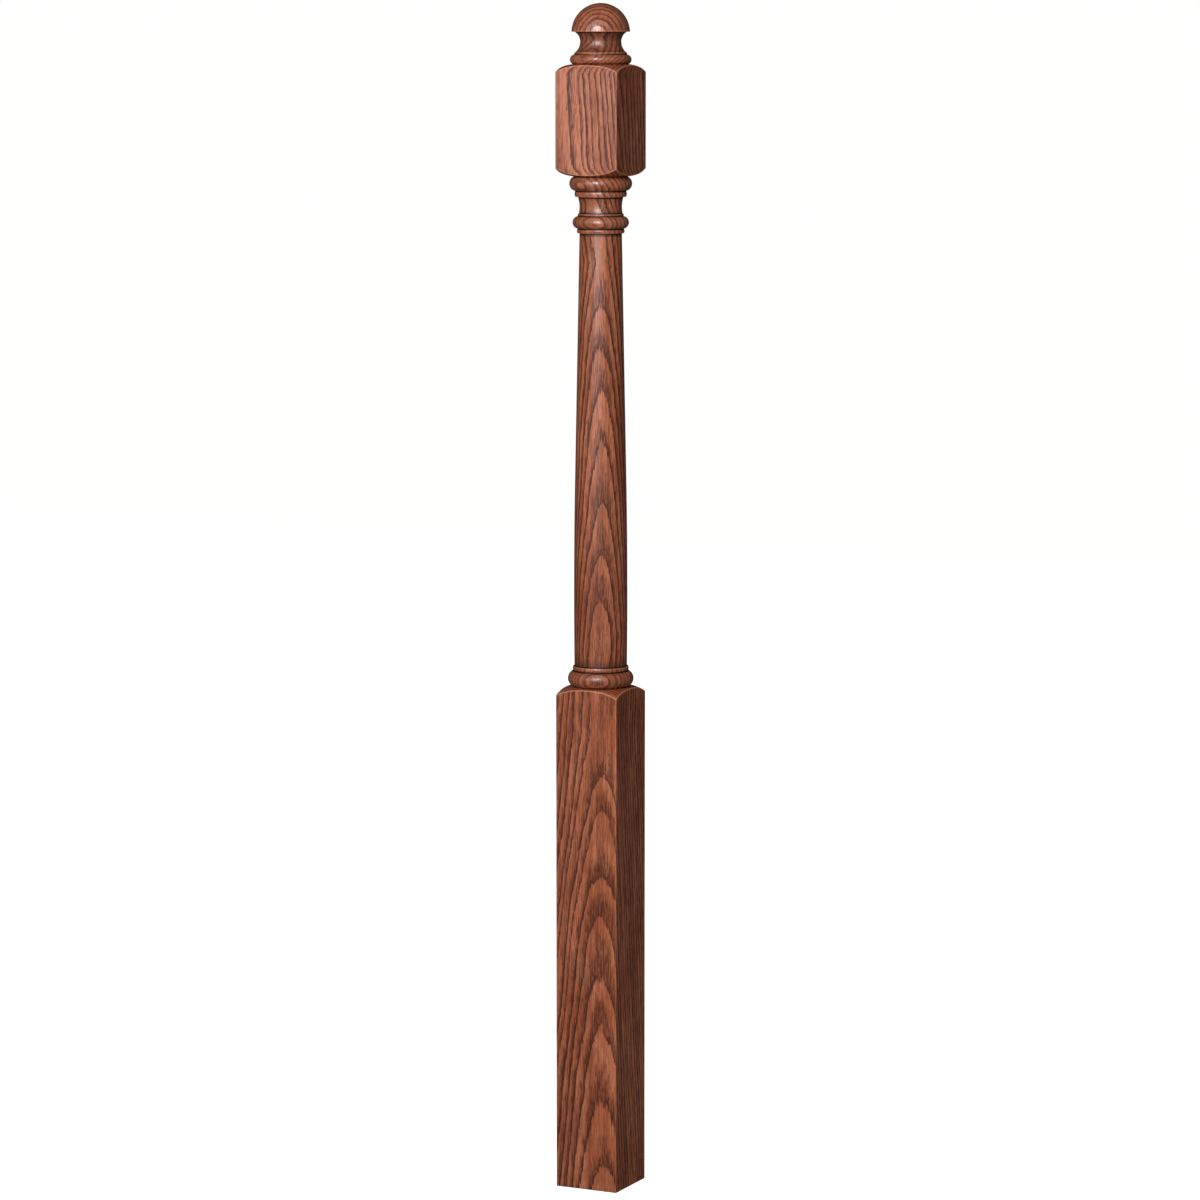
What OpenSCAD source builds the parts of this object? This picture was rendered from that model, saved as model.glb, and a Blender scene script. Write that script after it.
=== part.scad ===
/* [Square blank] */
// Width of the square blank that the whole post is turned from
blank_w = 76.2; // [60:0.1:120]
// Radius of the eased long edges of the squares
edge_r = 1; // [0.4:0.1:3]

/* [Squares] */
// Height of the lower square, from the floor to its top corners
foot_h = 569.6; // [200:0.1:900]
// Height of the rail block, from its lower corners to its upper corners
rail_h = 107.5; // [60:0.1:250]
// Rise of each rounded shoulder, from the corners to its inner rim
shoulder_h = 8.5; // [5:0.1:14]
// Depth of a shoulder's inner rim below the face
shoulder_cut = 6; // [4:0.1:6.2]
// How far the middle of a shoulder stands out from a straight slope
shoulder_round = 1.6; // [0.5:0.1:2]

/* [Base bead and fillet] */
// Height of the bead that sits on the lower square
base_bead_h = 17.7; // [12:0.1:24]
// Depth of that bead's crown below the face
base_bead_cut = 0.8; // [0.5:0.1:5]
// Depth of that bead's two rims below the face
base_rim_cut = 6.3; // [6:0.1:9]
// Height of the fillet between that bead and the shaft
base_fillet_h = 5.4; // [3:0.1:9]
// Depth of the fillet's rims below the face
base_fillet_cut = 6.9; // [6.5:0.1:8]
// How far the middle of the fillet stands out from its rims
base_fillet_round = 0.5; // [0.2:0.1:1]

/* [Shaft] */
// Height of the long shaft
shaft_h = 489.8; // [200:0.1:800]
// Depth of the shaft below the face at its fattest place
shaft_swell_cut = 7.85; // [7.6:0.05:12]
// Depth of the shaft below the face at its top
shaft_top_cut = 14.3; // [13:0.05:20]
// Height of the fattest place above the foot of the shaft
swell_at = 80; // [40:1:110]
// Height at which the swelling has run out into a straight taper
taper_at = 210; // [130:1:290]

/* [Collar] */
// Height of the ring at the top of the shaft
ring_h = 5.2; // [3:0.1:9]
// Depth of the ring's rims below the face
ring_cut = 12.2; // [11.5:0.1:13]
// How far the middle of the ring stands out from its rims
ring_round = 0.9; // [0.3:0.1:2]
// Height of the collar bead
collar_bead_h = 13.8; // [9:0.1:20]
// Depth of the collar bead's crown below the face
collar_bead_cut = 6.4; // [5:0.1:8]
// Depth of the collar bead's rims below the face
collar_rim_cut = 11.7; // [10:0.1:12.2]
// Height of the thin fillet above the collar bead
thin_fillet_h = 2.7; // [1.5:0.1:5]
// Depth of the thin fillet below the face
thin_fillet_cut = 12.3; // [11.5:0.1:13]
// Height of the shallow neck
neck_h = 19; // [12:0.1:40]
// Depth of the neck below the face at its lower end
neck_low_cut = 13.4; // [13:0.1:15]
// Depth of the neck below the face at its upper end
neck_high_cut = 12.5; // [12:0.1:14]
// How far the middle of the neck is hollowed
neck_hollow = 1.35; // [0.5:0.05:3]
// Height of the broad fillet under the rail bead
broad_fillet_h = 6.8; // [4:0.1:10]
// Depth of the broad fillet's rims below the face
broad_fillet_cut = 9.6; // [9.2:0.1:11]
// How far the middle of the broad fillet stands out from its rims
broad_fillet_round = 0.85; // [0.3:0.05:1.5]
// Height of the bead under the rail block
rail_bead_h = 16.3; // [11:0.1:22]
// Depth of that bead's crown below the face
rail_bead_cut = 2.8; // [1:0.1:5]
// Depth of that bead's rims below the face
rail_rim_cut = 8.7; // [8.2:0.1:10]

/* [Finial] */
// Height of the bead on top of the rail block
cap_bead_h = 10.4; // [7:0.1:15]
// Depth of that bead's crown below the face
cap_bead_cut = 3.6; // [1:0.1:5]
// Depth of that bead's rims below the face
cap_rim_cut = 6.9; // [6:0.1:8]
// Height of the rounded step above that bead
step_h = 3.2; // [2:0.1:5]
// Depth of the step below the face at its foot
step_low_cut = 8.2; // [8:0.1:9.2]
// Depth of the step below the face at its top
step_high_cut = 9.7; // [9.4:0.1:10]
// How far the middle of the step stands out
step_round = 0.45; // [0.2:0.05:1]
// Height from the top of the step to the narrowest place of the hollow
scotia_low_h = 11.5; // [8:0.1:16]
// Height from the narrowest place of the hollow to the dome
scotia_high_h = 10.9; // [8:0.1:16]
// Depth of the narrowest place below the face
scotia_cut = 15.1; // [14:0.1:20]
// Depth below the face where the hollow starts, on top of the step
scotia_low_cut = 10.1; // [10:0.1:11]
// Depth below the face where the hollow meets the underside of the dome
scotia_high_cut = 8.8; // [8:0.1:11]
// Depth below the face of the ball that the dome is the top of, at its fattest
dome_cut = 5.3; // [3:0.1:7.5]
// How far that ball's middle lies below the flat underside of the dome
dome_sink = 0.9; // [0:0.1:3]

/* [Hidden] */
$fn = 96;
wood_colour = [0.42, 0.19, 0.13];
// How far the blank runs past each end of the turning
blank_spare = 5;
// How far the turning stands outside the corners of the blank over the squares
square_spare = 1;
// How far a member's straight part stops inside its round, or runs out into its hollow
lap = 0.5;
// Straight lengths that stand for the shaft's swelling
swell_steps = 24;

half_w = blank_w / 2;
corner_r = (half_w - edge_r) * sqrt(2) + edge_r;
clear_r = corner_r + square_spare;

// Radius at a depth of cut below the blank's face
function at(cut) = half_w - cut;

// Disc through both ends of a chord, from the chord's [run in radius, rise] and from
// how far the arc stands out from its middle, which is less than none for a hollow
function disc_r(chord, bulge) = (chord * chord / 4 + bulge * bulge) / (2 * abs(bulge));
function disc_centre(chord, bulge) = chord / 2
    + (bulge - sign(bulge) * disc_r(chord, bulge)) * [chord.y, -chord.x] / norm(chord);

// A shoulder's arc passes through the corner of the blank and the shoulder's inner
// rim, and runs on past the corner to the outside of the turning
shoulder_r = at(shoulder_cut);
shoulder_chord = [shoulder_r - corner_r, shoulder_h];
shoulder_disc_r = disc_r(shoulder_chord, shoulder_round);
shoulder_centre = [corner_r, -shoulder_h] + disc_centre(shoulder_chord, shoulder_round);
shoulder_drop = -shoulder_centre.y
    - sqrt(pow(shoulder_disc_r, 2) - pow(clear_r - shoulder_centre.x, 2));

// The shaft tapers straight from its top, and runs into a swelling above its foot
swell_run = taper_at - swell_at;
taper = (shaft_top_cut - shaft_swell_cut) / (shaft_h - taper_at + swell_run / 2);
function shaft_r(h) = h < taper_at
    ? at(shaft_swell_cut) - taper * pow(h - swell_at, 2) / (2 * swell_run)
    : at(shaft_top_cut) + taper * (shaft_h - h);

// A turned member is [height, lower radius, upper radius, bulge]. The bulge is how
// far a round stands out between its rims, and is less than none for a hollow.
function plain(h, cut) = [h, at(cut), at(cut), 0];
function rounded(h, rim_cut, crown_cut) = [h, at(rim_cut), at(rim_cut), rim_cut - crown_cut];

// Bulge of a hollow whose arc stands upright at its narrow end
function upright_hollow(h, run) = let (r = (h * h + run * run) / (2 * run))
    sqrt(r * r - (h * h + run * run) / 4) - r;

base_members = [
    rounded(base_bead_h, base_rim_cut, base_bead_cut),
    rounded(base_fillet_h, base_fillet_cut, base_fillet_cut - base_fillet_round),
];
collar_members = [
    rounded(ring_h, ring_cut, ring_cut - ring_round),
    rounded(collar_bead_h, collar_rim_cut, collar_bead_cut),
    plain(thin_fillet_h, thin_fillet_cut),
    [neck_h, at(neck_low_cut), at(neck_high_cut), -neck_hollow],
    rounded(broad_fillet_h, broad_fillet_cut, broad_fillet_cut - broad_fillet_round),
    rounded(rail_bead_h, rail_rim_cut, rail_bead_cut),
];
finial_members = [
    rounded(cap_bead_h, cap_rim_cut, cap_bead_cut),
    [step_h, at(step_low_cut), at(step_high_cut), step_round],
    [scotia_low_h, at(scotia_low_cut), at(scotia_cut),
        upright_hollow(scotia_low_h, scotia_cut - scotia_low_cut)],
    [scotia_high_h, at(scotia_cut), at(scotia_high_cut),
        upright_hollow(scotia_high_h, scotia_cut - scotia_high_cut)],
];
dome_r = at(dome_cut);

// Height of the first n members of a stack, and heights where the parts of the post start
function stack_h(members, n) = n == 0 ? 0 : stack_h(members, n - 1) + members[n - 1][0];
function whole_h(members) = stack_h(members, len(members));
base_z = foot_h + shoulder_h;
shaft_z = base_z + whole_h(base_members);
collar_z = shaft_z + shaft_h;
rail_z = collar_z + whole_h(collar_members);
finial_z = rail_z + rail_h + 2 * shoulder_h;
dome_z = finial_z + whole_h(finial_members);

// Half section of a turned member: straight from rim to rim, then rounded out or
// hollowed by a disc through both rims
module member(m) {
    chord = [m[2] - m[1], m[0]];
    inset = sign(m[3]) * lap;
    module straight() polygon([[0, 0], [m[1] - inset, 0], [m[2] - inset, m[0]], [0, m[0]]]);
    module disc() intersection() {
        translate([m[1], 0] + disc_centre(chord, m[3])) circle(disc_r(chord, m[3]));
        square([clear_r, m[0]]);
    }
    if (m[3] > 0) union() {
        straight();
        disc();
    }
    else if (m[3] < 0) difference() {
        straight();
        disc();
    }
    else straight();
}

module stack(members)
    for (i = [0 : len(members) - 1])
        translate([0, stack_h(members, i)]) member(members[i]);

// Half section of the end of a square, below its rim at no height
module shoulder() {
    deep = 2 * shoulder_h;
    polygon([[0, -deep], [clear_r, -deep], [clear_r, -shoulder_drop], [shoulder_r - lap, 0], [0, 0]]);
    intersection() {
        translate(shoulder_centre) circle(shoulder_disc_r, $fn = 180);
        translate([0, -deep]) square([clear_r, deep]);
    }
}

// The squares stop short of their corners, where the shoulders lap over them
module foot_section() {
    square([clear_r, foot_h - shoulder_h / 2]);
    translate([0, base_z]) shoulder();
}

module rail_section() {
    translate([0, rail_z + 3 * shoulder_h / 2]) square([clear_r, rail_h - shoulder_h]);
    translate([0, rail_z]) mirror([0, 1]) shoulder();
    translate([0, finial_z]) shoulder();
}

module shaft_section()
    polygon(concat(
        [[0, 0]],
        [for (i = [0 : swell_steps]) let (h = taper_at * i / swell_steps) [shaft_r(h), h]],
        [[shaft_r(shaft_h), shaft_h], [0, shaft_h]]));

module dome_section()
    intersection() {
        translate([0, -dome_sink]) circle(dome_r);
        square(dome_r);
    }

// The turning, as it would be with no blank to limit it over the squares
module turning()
    rotate_extrude() {
        foot_section();
        translate([0, base_z]) stack(base_members);
        translate([0, shaft_z]) shaft_section();
        translate([0, collar_z]) stack(collar_members);
        rail_section();
        translate([0, finial_z]) stack(finial_members);
        translate([0, dome_z]) dome_section();
    }

// The square blank with its long edges eased, longer than the turning at both ends
module blank() {
    inner = half_w - edge_r;
    translate([0, 0, -blank_spare])
        linear_extrude(height = dome_z + dome_r + 2 * blank_spare) {
            square([blank_w, 2 * inner], center = true);
            square([2 * inner, blank_w], center = true);
            for (x = [-inner, inner], y = [-inner, inner])
                translate([x, y]) circle(edge_r, $fn = 32);
        }
}

// One piece of timber: the turning, squared off wherever it would pass the blank
module newel_post()
    color(wood_colour) intersection() {
        blank();
        turning();
    }

newel_post();
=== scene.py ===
import bpy
import math
import numpy as np
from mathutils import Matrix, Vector


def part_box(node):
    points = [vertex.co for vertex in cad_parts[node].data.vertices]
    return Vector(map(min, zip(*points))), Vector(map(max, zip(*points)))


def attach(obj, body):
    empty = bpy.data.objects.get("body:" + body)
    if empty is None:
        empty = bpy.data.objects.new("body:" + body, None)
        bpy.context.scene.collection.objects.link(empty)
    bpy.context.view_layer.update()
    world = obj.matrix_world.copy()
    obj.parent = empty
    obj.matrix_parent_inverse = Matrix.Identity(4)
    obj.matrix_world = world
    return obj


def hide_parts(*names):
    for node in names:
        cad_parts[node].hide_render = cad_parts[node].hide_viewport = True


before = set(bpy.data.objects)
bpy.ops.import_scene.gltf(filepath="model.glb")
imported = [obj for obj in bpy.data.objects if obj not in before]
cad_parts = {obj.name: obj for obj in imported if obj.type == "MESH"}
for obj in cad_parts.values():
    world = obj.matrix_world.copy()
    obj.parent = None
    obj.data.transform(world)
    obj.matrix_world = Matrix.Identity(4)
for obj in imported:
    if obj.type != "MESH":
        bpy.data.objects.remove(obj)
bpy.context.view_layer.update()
print("frame loaded")

mm = 0.001
postLow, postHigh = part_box("newel_post")
halfWidth = (postHigh.x - postLow.x) / 2 / mm


# ---- the turned post ----

# Sizes in mm. A cut is a depth below the face of the square blank. A turned member is
# its height, the cuts at its lower and upper rim, and how far its middle stands out.
# A bend is in radians for each mm along the outline.
post = {
    "edgeRound": 1.0,
    "creaseEase": 0.8,
    "footEase": 0.5,
    "edgeBand": 0.4,
    "cornerBand": 0.5,
    # the rubbing settings lighten the eased edges: partly worn wood, partly a painted highlight
    "arrisRubAndHighlight": 0.45,
    "footRubAndHighlight": 0.6,
    "rimEase": 0.22,
    "rimReach": 0.85,
    "footCorner": 569.6,
    "railHeight": 107.5,
    "shoulder": {"rise": 8.5, "cut": 6.0, "bulge": 1.6},
    "base": [(17.7, 6.3, 6.3, 5.5), (5.4, 6.9, 6.9, 0.5)],
    "shaft": {"height": 489.8, "swellCut": 7.85, "topCut": 14.3, "swellAt": 80.0, "taperAt": 210.0},
    "collar": [
        (5.2, 12.2, 12.2, 0.9),
        (13.8, 11.7, 11.7, 5.3),
        (2.7, 12.3, 12.3, 0.0),
        (19.0, 13.4, 12.5, -1.35),
        (6.8, 9.6, 9.6, 0.85),
        (16.3, 8.7, 8.7, 5.9),
    ],
    "cap": [(10.4, 6.9, 6.9, 3.3), (3.2, 8.2, 9.7, 0.45)],
    "hollow": {"lowHeight": 11.5, "highHeight": 10.9, "lowCut": 10.1, "waistCut": 15.1, "highCut": 8.8},
    "dome": {"cut": 5.3, "sink": 0.9},
    "columns": 36,
    "cornerColumns": 4,
    "creaseRows": 5,
    "shoulderRows": 9,
    "squareRows": 12,
    "arcPoints": 33,
    "shaftPoints": 200,
    "domePoints": 60,
    "outlineStep": 0.05,
    "turnPerRow": 0.15,
    "spreadPerRow": 0.2,
    "longestRow": 24.0,
    # the groove settings pick the concave bends that are darkened with painted shade
    "grooveSpread": 0.85,
    "grooveReach": 3.5,
    "grooveBend": 0.2,
    # convex bends are lightened more the sharper they turn, in full at this bend: partly worn wood, partly
    # a painted highlight
    "rubAndHighlightBend": 0.8,
    # turned members are darkened: partly the stain that end grain takes, partly painted shade
    "turnedThirstAndShade": 0.27,
    "shaftThirst": 0.15,
}


def uprightHollow(height, run):
    # sagitta of a hollow whose arc stands upright at its waist: its radius is (h² + run²) / 2 run
    radius = (height**2 + run**2) / (2 * run)
    return math.sqrt(radius**2 - (height**2 + run**2) / 4) - radius


def steadyArc(start, end, bulge, share):
    # arc from start to end: after a share t of the turn its chord is c sin(at) / sin(a) long
    # and leans out by a(1 - t), where tan(a/2) = 2 bulge / c
    run, rise = end[0] - start[0], end[1] - start[1]
    lean = 2 * math.atan2(2 * bulge, math.hypot(run, rise))
    reach = share * np.sinc(lean * share / np.pi) / np.sinc(lean / np.pi)
    turn = lean * (1 - share)
    radius = start[0] + reach * (run * np.cos(turn) + rise * np.sin(turn))
    height = start[1] + reach * (rise * np.cos(turn) - run * np.sin(turn))
    return radius, height


def turnedMembers(members, foot):
    # each member's arc in turn, from the foot's height up; a change of cut leaves a ledge
    share = np.linspace(0, 1, post["arcPoints"])
    radii, heights = [], []
    for rise, lowCut, highCut, bulge in members:
        low, high = (halfWidth - lowCut, foot), (halfWidth - highCut, foot + rise)
        radius, height = steadyArc(low, high, bulge, share)
        radii.append(radius)
        heights.append(height)
        foot += rise
    return np.concatenate(radii), np.concatenate(heights)


def shaftLine(foot):
    # straight taper, minus a parabola below the height where the swelling runs out
    shaft = post["shaft"]
    swellRun = shaft["taperAt"] - shaft["swellAt"]
    cutChange = shaft["topCut"] - shaft["swellCut"]
    taper = cutChange / (shaft["height"] - shaft["taperAt"] + swellRun / 2)
    up = np.linspace(0, shaft["height"], post["shaftPoints"])
    swelling = halfWidth - shaft["swellCut"] - taper * (up - shaft["swellAt"]) ** 2 / (2 * swellRun)
    straight = halfWidth - shaft["topCut"] + taper * (shaft["height"] - up)
    return np.where(up < shaft["taperAt"], swelling, straight), foot + up


def bellCurve(spread, reach):
    # weights of a bell curve, a step apart and as far as the reach to either side, adding up to 1
    steps = round(reach / post["outlineStep"])
    weights = np.exp(-0.5 * (np.arange(-steps, steps + 1) * post["outlineStep"] / spread) ** 2)
    return weights / weights.sum()


def easedRows(radius, height):
    # the outline averaged over a short length with a bell curve, which eases its rims, and
    # cut into rows so that none turns or runs further than the settings say; also gives
    # how sharply each row turns, outwards above zero
    step = post["outlineStep"]
    along = np.concatenate([[0], np.cumsum(np.hypot(np.diff(radius), np.diff(height)))])
    fine = np.linspace(0, along[-1], int(along[-1] / step))
    bell = bellCurve(post["rimEase"], post["rimReach"])
    line = []
    for values in (radius, height):
        padded = np.pad(np.interp(fine, along, values), bell.size // 2, "reflect", reflect_type="odd")
        line.append(np.convolve(padded, bell, "valid"))
    heading = np.unwrap(np.arctan2(np.gradient(line[1]), np.gradient(line[0])))
    bend = np.gradient(heading)
    spread = np.convolve(bend / step, bellCurve(post["grooveSpread"], post["grooveReach"]), "same")
    change = np.abs(bend) / post["turnPerRow"] + np.abs(np.gradient(spread)) / post["spreadPerRow"]
    cost = np.cumsum(change + step / post["longestRow"])
    rows = np.interp(np.linspace(cost[0], cost[-1], int(cost[-1]) + 2), cost, fine)
    return tuple(np.interp(rows, fine, values) for values in (*line, spread))


def squarePlan():
    # polar angle and reach of the eased square, side by side, with its corners as
    # quarter circles and one close column beside each, so that the faces stay flat
    flat = halfWidth - post["edgeRound"]
    corner = np.radians(np.linspace(0, 45, post["cornerColumns"] + 1))
    band = post["cornerBand"]
    sideReach = math.atan2(flat - band, halfWidth)
    side = halfWidth * np.tan(np.linspace(-sideReach, sideReach, post["columns"]))
    side = np.concatenate([[-flat], side, [flat]])
    arcX = flat + post["edgeRound"] * np.cos(corner[1:])
    arcY = flat + post["edgeRound"] * np.sin(corner[1:])
    x = np.concatenate([arcX[::-1], np.full(side.size, halfWidth), arcX[:-1]])
    y = np.concatenate([-arcY[::-1], side, arcY[:-1]])
    # the corner columns are lightened: partly rubbed wear, partly a painted highlight along the arris
    rubbed = post["arrisRubAndHighlight"] * np.clip((np.abs(y) - flat + band) / band, 0, 1)
    angle = np.arctan2(y, x) + np.arange(4)[:, None] * np.pi / 2
    return angle.ravel(), np.tile(np.hypot(x, y), 4), np.tile(rubbed, 4)


def shoulderHeight(radius):
    # height below the rim, and slope, of the arc through the blank's corner and the rim
    shoulder = post["shoulder"]
    inner = halfWidth - shoulder["cut"]
    outer = (halfWidth - post["edgeRound"]) * math.sqrt(2) + post["edgeRound"]
    run, rise = outer - inner, shoulder["rise"]
    chord = math.hypot(run, rise)
    arc = (chord**2 / 4 + shoulder["bulge"] ** 2) / (2 * shoulder["bulge"])
    back = arc - shoulder["bulge"]
    centre = ((inner + outer) / 2 - back * rise / chord, -rise / 2 - back * run / chord)
    up = np.sqrt(arc**2 - (radius - centre[0]) ** 2)
    return centre[1] + up, -(radius - centre[0]) / up


def easedCrease(corner, before, after, ease):
    # quadratic curve from ease before the corner to ease after it, pulled to the corner
    t = np.linspace(0, 1, post["creaseRows"])[:, None]
    return tuple(
        (1 - t) ** 2 * (c + ease * b) + 2 * t * (1 - t) * c + t**2 * (c + ease * a)
        for c, b, a in zip(corner, before, after)
    )


def shoulderRows(rim, reach, ups):
    # one rounded end of a square: the crease where it leaves the flat faces, then the
    # shoulder from there in to the rim; ups is 1 for an upper end and -1 for a lower one
    drop, slope = shoulderHeight(reach)
    length = np.hypot(1, slope)
    inward = (-1 / length, -slope / length)
    crease = easedCrease((reach, drop), (0 * reach, 0 * reach - 1), inward, post["creaseEase"])
    start = reach + post["creaseEase"] * inward[0]
    share = np.linspace(0, 1, post["shoulderRows"] + 1)[1:, None]
    radius = start + share * (halfWidth - post["shoulder"]["cut"] - start)
    height = shoulderHeight(radius)[0]
    radii = np.concatenate([crease[0], radius])
    heights = rim + ups * np.concatenate([crease[1], height])
    # the crease rows are lightened: partly rubbed wear, partly a painted highlight along the crease
    rubbed = np.concatenate([np.ones(len(crease[0])), np.zeros(len(radius))])[:, None]
    return (radii, heights, rubbed) if ups > 0 else (radii[::-1], heights[::-1], rubbed[::-1])


def newelPost(name):
    # rings of points one above another, at r cos a, r sin a and the row's height: r is the
    # plan's reach on the squares and one radius all round on the turned lengths
    angle, reach, arrisRubbedAndHighlit = squarePlan()
    shoulder = post["shoulder"]
    baseRim = post["footCorner"] + shoulder["rise"]
    rises = sum(member[0] for member in post["base"] + post["collar"])
    railRim = baseRim + rises + post["shaft"]["height"]
    capRim = railRim + post["railHeight"] + 2 * shoulder["rise"]
    hollow = post["hollow"]
    domeRadius = halfWidth - post["dome"]["cut"]

    baseR, baseZ = turnedMembers(post["base"], baseRim)
    shaftR, shaftZ = shaftLine(baseZ[-1])
    collarR, collarZ = turnedMembers(post["collar"], shaftZ[-1])
    waist = hollow["waistCut"]
    lowBulge = uprightHollow(hollow["lowHeight"], waist - hollow["lowCut"])
    highBulge = uprightHollow(hollow["highHeight"], waist - hollow["highCut"])
    finial = post["cap"] + [
        (hollow["lowHeight"], hollow["lowCut"], waist, lowBulge),
        (hollow["highHeight"], waist, hollow["highCut"], highBulge),
    ]
    finialR, finialZ = turnedMembers(finial, capRim)
    around = np.linspace(math.asin(post["dome"]["sink"] / domeRadius), np.pi / 2, post["domePoints"])
    domeR = domeRadius * np.cos(around)
    domeZ = finialZ[-1] - post["dome"]["sink"] + domeRadius * np.sin(around)
    rim = [halfWidth - shoulder["cut"]]
    shank = easedRows(
        np.concatenate([rim, baseR, shaftR, collarR, rim]),
        np.concatenate([[baseRim], baseZ, shaftZ, collarZ, [railRim]]),
    )
    head = easedRows(np.concatenate([rim, finialR, domeR]), np.concatenate([[capRim], finialZ, domeZ]))

    footTop = shoulderRows(baseRim, reach, 1)
    railFoot = shoulderRows(railRim, reach, -1)
    railTop = shoulderRows(capRim, reach, 1)
    down, out, level = 0 * reach - 1, 0 * reach + 1, 0 * reach
    underEdge = easedCrease((reach, level), (down, level), (level, out), post["footEase"])
    # the foot's lower edge is lightened: partly rubbed wear, partly a painted highlight
    footRubAndHighlight = np.full((post["creaseRows"], 1), post["footRubAndHighlight"])

    def squareRows(below, above):
        length = above[1][0] - below[1][-1]
        near = post["edgeBand"] / np.abs(length)
        share = near + np.linspace(0, 1, post["squareRows"])[:, None] * (1 - 2 * near)
        return reach, below[1][-1] + share * length, 0, arrisRubbedAndHighlit, 0

    def turnedRows(line):
        radius, height, bend = (values[1:-1, None] for values in line)
        onShaft = (height > shaftZ[0]) & (height < shaftZ[-1])
        # turned members darkened more than the shaft: partly stain, partly painted shade
        return radius, height, bend, 0, np.where(onShaft, post["shaftThirst"], post["turnedThirstAndShade"])

    # radius, height, bend, rubbing with painted highlight, and thirst for stain with painted shade, of
    # each run of rows
    parts = [
        (underEdge[0], underEdge[1], 0, footRubAndHighlight, 0),
        squareRows(underEdge, footTop),
        (footTop[0], footTop[1], 0, footTop[2], 0),
        turnedRows(shank),
        (railFoot[0], railFoot[1], 0, railFoot[2], 0),
        squareRows(railFoot, railTop),
        (railTop[0], railTop[1], 0, railTop[2], 0),
        turnedRows(head),
    ]
    stores = [[], [], [], [], []]
    for part in parts:
        shape = (part[1].shape[0], angle.size)
        for store, values in zip(stores, part):
            store.append(np.broadcast_to(values, shape))

    radius, height, bend, rubAndHighlight, thirst = (np.concatenate(store) for store in stores)
    ring = np.stack([radius * np.cos(angle), radius * np.sin(angle), height], axis=-1)
    poles = np.array([[0, 0, 0], [0, 0, head[1][-1]]])
    # outward direction: the cross product of the runs round and up the post
    facing = np.cross(np.roll(ring, -1, axis=1) - np.roll(ring, 1, axis=1), np.gradient(ring, axis=0))
    facing /= np.linalg.norm(facing, axis=-1, keepdims=True)
    points = np.concatenate([ring.reshape(-1, 3), poles]) * mm
    rows, columns = radius.shape
    index = np.arange(rows * columns).reshape(rows, columns)
    across = np.roll(index, -1, axis=1)
    quads = np.stack([index[:-1], across[:-1], across[1:], index[1:]], axis=-1).reshape(-1, 4)
    under = np.stack([across[0], index[0], np.full(columns, rows * columns)], axis=-1)
    top = np.stack([index[-1], across[-1], np.full(columns, rows * columns + 1)], axis=-1)

    mesh = bpy.data.meshes.new(name)
    mesh.from_pydata(points.tolist(), [], quads.tolist() + under.tolist() + top.tolist())
    mesh.polygons.foreach_set("use_smooth", np.ones(len(mesh.polygons), bool))
    layers = {
        # painted shade: concave bends, the grooves between members, darkened as contact shadow
        "groove": ("FLOAT", "value", np.clip(-bend / post["grooveBend"], 0, 1), [0, 0]),
        # edges and convex bends lightened: partly rubbed wear, partly a painted highlight
        "rubbed": ("FLOAT", "value", np.maximum(rubAndHighlight, np.clip(bend / post["rubAndHighlightBend"], 0, 1)), [0, 0]),
        # darkening of turned lengths: partly stain, partly painted shade
        "thirst": ("FLOAT", "value", thirst, [0, post["turnedThirstAndShade"]]),
        "facing": ("FLOAT_VECTOR", "vector", facing, [0, 0, -1, 0, 0, 1]),
    }
    for layer, (kind, field, values, atPoles) in layers.items():
        attribute = mesh.attributes.new(layer, kind, "POINT")
        attribute.data.foreach_set(field, np.concatenate([values.ravel(), atPoles]).astype(np.float32))
    mesh.update()
    piece = bpy.data.objects.new(name, mesh)
    bpy.context.scene.collection.objects.link(piece)
    print("post:", rows, "rows,", columns, "columns,", 2 * len(quads) + len(under) + len(top), "triangles")
    return piece


# ---- the stained oak ----

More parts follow.
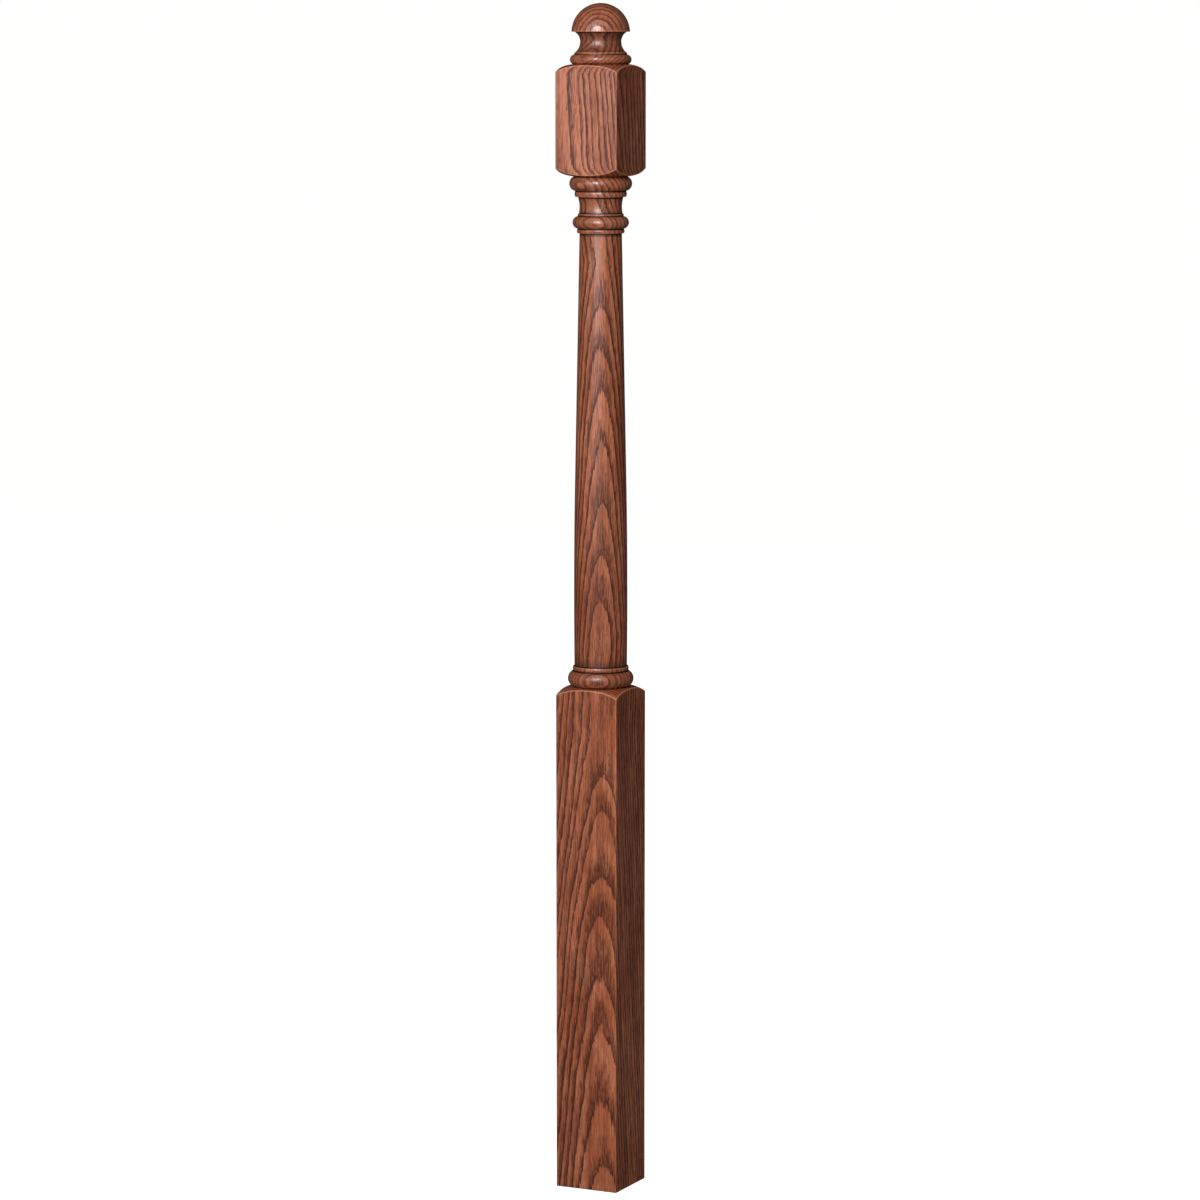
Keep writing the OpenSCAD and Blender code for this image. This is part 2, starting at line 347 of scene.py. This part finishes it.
class Wire:
    # a value in a shader: sums and products add Math nodes, and add() makes any other node
    def __init__(self, tree, socket=None):
        self.tree = tree
        self.socket = socket

    def add(self, kind, settings, sockets, output=0):
        node = self.tree.nodes.new(kind)
        for name, value in settings.items():
            if name == "stops":
                self.setStops(node.color_ramp, value)
            else:
                setattr(node, name, value)
        for name, value in sockets.items():
            if isinstance(value, Wire):
                self.tree.links.new(value.socket, node.inputs[name])
            else:
                node.inputs[name].default_value = value
        return Wire(self.tree, node.outputs[output] if node.outputs else None)

    def setStops(self, ramp, stops):
        while len(ramp.elements) < len(stops):
            ramp.elements.new(1)
        for element, (place, colour) in zip(ramp.elements, stops):
            element.position = place
            element.color = (*colour, 1)

    def number(self, operation, *values):
        return self.add("ShaderNodeMath", {"operation": operation}, dict(enumerate(values)))

    def maths(self, operation, *values):
        return self.number(operation, self, *values)

    def __add__(self, other):
        return self.maths("ADD", other)

    def __radd__(self, other):
        return self.maths("ADD", other)

    def __sub__(self, other):
        return self.maths("SUBTRACT", other)

    def __rsub__(self, other):
        return self.number("SUBTRACT", other, self)

    def __mul__(self, other):
        return self.maths("MULTIPLY", other)

    def __rmul__(self, other):
        return self.maths("MULTIPLY", other)

    def __truediv__(self, other):
        return self.maths("DIVIDE", other)

    def smooth(self, low, high, first=0.0, last=1.0):
        return self.add(
            "ShaderNodeMapRange",
            {"interpolation_type": "SMOOTHSTEP"},
            {"Value": self, "From Min": low, "From Max": high, "To Min": first, "To Max": last},
        )

    def vector(self, operation, *values, output=0):
        return self.add("ShaderNodeVectorMath", {"operation": operation}, dict(enumerate(values)), output)

    def stretched(self, x, y, z):
        return self.vector("MULTIPLY", self, (x, y, z))

    def part(self, axis):
        return self.add("ShaderNodeSeparateXYZ", {}, {"Vector": self}, axis)

    def noise(self, detail, roughness):
        sockets = {"Vector": self, "Scale": 1.0, "Detail": detail, "Roughness": roughness}
        return self.add("ShaderNodeTexNoise", {}, sockets)

    def noiseAlong(self, scale):
        # noise of one number, such as a count of rings
        sockets = {"W": self, "Scale": scale, "Detail": 1.0}
        return self.add("ShaderNodeTexNoise", {"noise_dimensions": "1D"}, sockets)

    def mixed(self, first, second):
        # colour that goes from first, where this value is 0, to second, where it is 1
        return self.add("ShaderNodeMix", {"data_type": "RGBA"}, {0: self, 6: first, 7: second}, 2)

    def ramp(self, stops):
        return self.add("ShaderNodeValToRGB", {"stops": stops}, {"Fac": self})

    def level(self, stops):
        # a ramp of plain numbers
        return self.ramp([(place, (value, value, value)) for place, value in stops]).part("X")


# Lengths in mm. The pith is the middle of the tree, beside the timber, as (height, x, y).
oak = {
    "pith": [
        (0, 21, -80), (530, 21, -80), (640, 33, -64), (1060, 33, -62), (1110, 10, -63), (1165, -29, -66),
        (1272, -31, -57), (1305, 17, -48), (1348, 22, -58),
    ],
    "pithSpan": 120,
    "ringWidth": 5.8,
    "ringTaper": 0.092,
    "unevenScale": 0.9,
    "spellScale": 0.38,
    "unevenYears": 0.6,
    "frayYears": 0.42,
    # the dark line that starts a year: its width, the share of that which is always there
    # and the share that varies, its largest share of a year, and where its edges fade
    "lineWidth": 2.3,
    "lineSteady": 0.35,
    "lineVaries": 1.3,
    "widestLine": 0.5,
    "flattestCut": 0.002,
    "lineFade": (0.3, 1.0),
    "nextLine": (0.965, 1.0),
    "porousPart": [(0, 1), (0.18, 1), (0.38, 0.58), (0.64, 0.16), (0.96, 0.03), (1, 0.6)],
    # noise that moves the rings: cycles in a mm along x, y and z, detail, roughness, reach
    "shifts": {
        "wander": ((0.011, 0.011, 0.0045), 1.0, 0.5, 10.5),
        "ripple": ((0.055, 0.055, 0.017), 2.0, 0.5, 3.8),
    },
    "fray": ((1.0, 1.0, 0.055), 2.0, 0.6),
    # noise that marks the wood: the same, with the step over which a mark sets in
    "marks": {
        "dashes": ((0.85, 0.85, 0.07), 1.5, 0.6, (0.45, 0.55)),
        "fine": ((1.6, 1.6, 0.12), 1.0, 0.5, (0.46, 0.60)),
        "blotch": ((0.03, 0.03, 0.01), 3.0, 0.6, (0.38, 0.62)),
        "streak": ((0.2, 0.2, 0.004), 2.5, 0.65, (0.44, 0.64)),
    },
    "spellStep": (0.38, 0.62),
    # painted shade: the wood darkens towards -x across this span, in mm
    "darkSide": (-38, 30),
    # how much of each kind of pore shows everywhere, and how much more in early wood
    "dashShare": (0.34, 0.66),
    "fineShare": (0.14, 0.5),
    # faces turned up or down are darkened: partly stain taken by end grain, partly painted shade on the
    # upper and lower flanks of beads
    "endGrainThirstAndShade": 0.12,
    "lightWood": (0.470, 0.155, 0.076, 1),
    "warmWood": (0.368, 0.100, 0.039, 1),
    # deep stain for streaks and early wood, also the colour of painted shade towards -x and on turned
    # members
    "deepStainAndShade": (0.110, 0.026, 0.010, 1),
    "earlyWood": (0.066, 0.014, 0.004, 1),
    "pore": (0.046, 0.010, 0.004, 1),
    # lighter wood on edges and convex bends: partly rubbed wear, partly a painted highlight
    "rubbedAndHighlightWood": (0.56, 0.21, 0.11, 1),
    # near-black painted shade in the grooves between members
    "grooveShade": (0.008, 0.002, 0.002, 1),
    # the layers over the bare wood, the lowest first: colour, and share of it at the most
    "layers": {
        "streak": ("deepStainAndShade", 0.42),
        # painted shade, darker towards -x
        "darkSide": ("deepStainAndShade", 0.2),
        # turned members and faces turned up or down darkened: partly stain, partly painted shade
        "thirst": ("deepStainAndShade", 0.6),
        "spells": ("deepStainAndShade", 0.14),
        "porous": ("deepStainAndShade", 0.6),
        "line": ("earlyWood", 0.95),
        "pores": ("pore", 0.8),
        # edges and convex bends lightened: partly rubbed wear, partly a painted highlight
        "rubbed": ("rubbedAndHighlightWood", 0.4),
        # painted shade in the grooves between members
        "groove": ("grooveShade", 0.96),
    },
    "roughness": 0.36,
    "dullRoughness": 0.14,
    "specular": 0.35,
    "coat": 0.58,
    "dullCoat": 0.9,
    "coatRoughness": 0.25,
    "poreDulls": 0.7,
    "lineDulls": 0.8,
    "lineDepth": 0.3,
    "poreDepth": 0.00015,
    "poreStrength": 0.7,
}


def stainedOak(name):
    material = bpy.data.materials.new(name)
    material.use_nodes = True
    tree = material.node_tree
    tree.nodes.clear()
    start = Wire(tree)

    place = start.add("ShaderNodeTexCoord", {}, {}, "Object").stretched(1 / mm, 1 / mm, 1 / mm)
    height = place.part("Z")

    def carried(attribute, output="Fac"):
        return start.add("ShaderNodeAttribute", {"attribute_name": attribute}, {}, output)

    def shift(cycles, detail, roughness):
        return place.stretched(*cycles).noise(detail, roughness) - 0.5

    def mark(cycles, detail, roughness, step):
        return place.stretched(*cycles).noise(detail, roughness).smooth(*step)

    # rings are cones round the pith, whose place runs along the post as a ramp's red and green
    span = oak["pithSpan"]
    tall = oak["pith"][-1][0]
    stops = [(z / tall, ((x + span) / (2 * span), (y + span) / (2 * span), 0)) for z, x, y in oak["pith"]]
    pithAt = (height / tall).ramp(stops)
    pithAt = start.vector("MULTIPLY_ADD", pithAt, (2 * span, 2 * span, 0), (-span, -span, 0))
    outwards = start.vector("SUBTRACT", place, pithAt).stretched(1, 1, 0)
    fromPith = start.vector("LENGTH", outwards, output="Value")
    grown = fromPith + height * oak["ringTaper"]
    for cycles, detail, roughness, reach in oak["shifts"].values():
        grown = grown + shift(cycles, detail, roughness) * reach
    years = grown / oak["ringWidth"]
    uneven = years.noiseAlong(oak["unevenScale"])
    spells = years.noiseAlong(oak["spellScale"]).smooth(*oak["spellStep"])
    years = years + (uneven - 0.5) * oak["unevenYears"] + shift(*oak["fray"]) * oak["frayYears"]
    year = years.maths("FRACT")

    # each year starts with a dark line of one width, so its share of the year is larger
    # where the surface cuts the rings steeply: years pass there at the rate of their slope
    # along the surface, and the slope straight into the wood is left out
    facing = carried("facing", "Vector")
    slope = start.vector("ADD", start.vector("NORMALIZE", outwards), (0, 0, oak["ringTaper"]))
    inward = start.vector("DOT_PRODUCT", slope, facing, output="Value")
    squared = 1 + oak["ringTaper"] ** 2 - inward * inward
    steep = squared.maths("MAXIMUM", oak["flattestCut"]).maths("SQRT")
    thick = oak["lineWidth"] * (oak["lineSteady"] + oak["lineVaries"] * uneven)
    lineShare = (steep * thick * (1 / oak["ringWidth"])).maths("MINIMUM", oak["widestLine"])
    line = (year / lineShare).smooth(*oak["lineFade"], 1.0, 0.0)
    line = line.maths("MAXIMUM", year.smooth(*oak["nextLine"]))

    # the porous early wood above each line takes most stain, in short dashes
    marks = {kind: mark(*figures) for kind, figures in oak["marks"].items()}
    porous = year.level(oak["porousPart"])
    everywhere, more = oak["dashShare"]
    pores = marks["dashes"] * (everywhere + more * porous)
    everywhere, more = oak["fineShare"]
    pores = (pores + marks["fine"] * (everywhere + more * porous)).maths("MINIMUM", 1)

    # concave bends, where the grooves take painted shade
    groove = carried("groove")
    endGrainAndFlankShade = facing.part("Z").maths("ABSOLUTE")
    masks = {
        "streak": marks["streak"],
        # painted shade, darker towards -x
        "darkSide": place.part("X").smooth(*oak["darkSide"], 1.0, 0.0),
        # turned members and faces turned up or down: partly stain, partly painted shade
        "thirst": carried("thirst") + endGrainAndFlankShade * oak["endGrainThirstAndShade"],
        "spells": spells,
        "porous": porous,
        "line": line,
        "pores": pores,
        # edges and convex bends: partly rubbed wear, partly a painted highlight
        "rubbed": carried("rubbed"),
        "groove": groove,
    }
    wood = marks["blotch"].mixed(oak["lightWood"], oak["warmWood"])
    for layer, (colour, share) in oak["layers"].items():
        wood = (masks[layer] * share).mixed(wood, oak[colour])

    # open pores, and the grooves darkened with painted shade, show dull through the lacquer
    dull = (groove + pores * oak["poreDulls"] + line * oak["lineDulls"]).maths("MINIMUM", 1)
    relief = {
        "Height": 1 - pores - line * oak["lineDepth"],
        "Distance": oak["poreDepth"],
        "Strength": oak["poreStrength"],
    }
    shader = start.add(
        "ShaderNodeBsdfPrincipled",
        {},
        {
            "Base Color": wood,
            "Roughness": oak["roughness"] + dull * oak["dullRoughness"],
            "Normal": start.add("ShaderNodeBump", {}, relief),
            "Coat Weight": oak["coat"] * (1 - dull * oak["dullCoat"]),
            "Coat Roughness": oak["coatRoughness"],
            "Specular IOR Level": oak["specular"],
        },
    )
    start.add("ShaderNodeOutputMaterial", {}, {"Surface": shader})
    return material


newel = newelPost("newel_timber")
newel.data.materials.append(stainedOak("stained_oak"))
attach(newel, "root")
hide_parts("newel_post")
print("oak stained")


# ---- the studio ----

studio = {
    "floorSize": 12.0,
    "floor": (0.6, 0.6, 0.595, 1),
    "floorRoughness": 0.9,
    "floorGlow": 0.9,
    "backdrop": (1.0, 1.0, 0.995, 1),
    "ambient": 0.3,
    "glossyAmbient": 0.04,
    "cameraAngle": 26.08,
    "cameraDistance": 5.0,
    "cameraHeight": 1.2986,
    "cameraPitch": 7.097,
    "lens": 133.3,
    "film": 36,
    "shift": (-0.0006, 0.0),
    # name: (angle round the post, height, distance, width, tall, watts, height it points at,
    # whether gloss shows it)
    "lights": {
        "key": (10, 1.8, 2.2, 1.0, 1.2, 78, 0.8, True),
        "wall": (-28, 1.7, 2.6, 1.6, 1.4, 9, 0.8, True),
        "back": (206, 1.6, 3.0, 1.6, 1.6, 24, 0.8, False),
        "low": (95, 0.05, 0.5, 0.3, 0.2, 0.3, 0.1, False),
    },
}


def aimed(thing, angle, distance, height, target):
    # stands a thing at an angle round the post, 0 in front, and turns it to face the
    # post's middle line at the target height
    turn = math.radians(angle)
    thing.location = (distance * math.sin(turn), -distance * math.cos(turn), height)
    thing.rotation_euler = (Vector((0, 0, target)) - thing.location).to_track_quat("-Z", "Y").to_euler()
    bpy.context.scene.collection.objects.link(thing)


def floorSheet():
    half = studio["floorSize"] / 2
    mesh = bpy.data.meshes.new("floor")
    corners = [(-half, -half, 0), (half, -half, 0), (half, half, 0), (-half, half, 0)]
    mesh.from_pydata(corners, [], [(0, 1, 2, 3)])
    material = bpy.data.materials.new("floor")
    material.use_nodes = True
    shader = material.node_tree.nodes["Principled BSDF"]
    shader.inputs["Base Color"].default_value = studio["floor"]
    shader.inputs["Roughness"].default_value = studio["floorRoughness"]
    shader.inputs["Emission Color"].default_value = studio["backdrop"]
    shader.inputs["Emission Strength"].default_value = studio["floorGlow"]
    mesh.materials.append(material)
    floor = bpy.data.objects.new("floor", mesh)
    floor.visible_diffuse = False
    floor.visible_glossy = False
    bpy.context.scene.collection.objects.link(floor)


def softLight(name, angle, height, distance, width, tall, watts, target, inGloss):
    lamp = bpy.data.lights.new(name, "AREA")
    lamp.shape = "RECTANGLE"
    lamp.size = width
    lamp.size_y = tall
    lamp.energy = watts
    light = bpy.data.objects.new(name, lamp)
    light.visible_camera = False
    light.visible_glossy = inGloss
    aimed(light, angle, distance, height, target)


def surroundings():
    # white to the camera, a dim even light to matt surfaces and a dimmer one to gloss
    world = bpy.data.worlds.new("surroundings")
    world.use_nodes = True
    tree = world.node_tree
    tree.nodes.clear()
    start = Wire(tree)
    seen = start.add("ShaderNodeLightPath", {}, {}, "Is Camera Ray")
    glossy = start.add("ShaderNodeLightPath", {}, {}, "Is Glossy Ray")
    ambient = studio["ambient"]
    strength = ambient + seen * (1 - ambient) - glossy * (ambient - studio["glossyAmbient"])
    light = start.add("ShaderNodeBackground", {}, {"Color": studio["backdrop"], "Strength": strength})
    start.add("ShaderNodeOutputWorld", {}, {"Surface": light})
    bpy.context.scene.world = world


def studioCamera():
    lens = bpy.data.cameras.new("camera")
    lens.lens = studio["lens"]
    lens.sensor_width = studio["film"]
    lens.shift_x, lens.shift_y = studio["shift"]
    lens.dof.use_dof = False
    camera = bpy.data.objects.new("camera", lens)
    distance, height = studio["cameraDistance"], studio["cameraHeight"]
    target = height - distance * math.tan(math.radians(studio["cameraPitch"]))
    aimed(camera, studio["cameraAngle"], distance, height, target)
    bpy.context.scene.camera = camera


floorSheet()
for name, place in studio["lights"].items():
    softLight(name, *place)
surroundings()
studioCamera()
bpy.context.scene.view_settings.view_transform = "Standard"
print("studio ready")
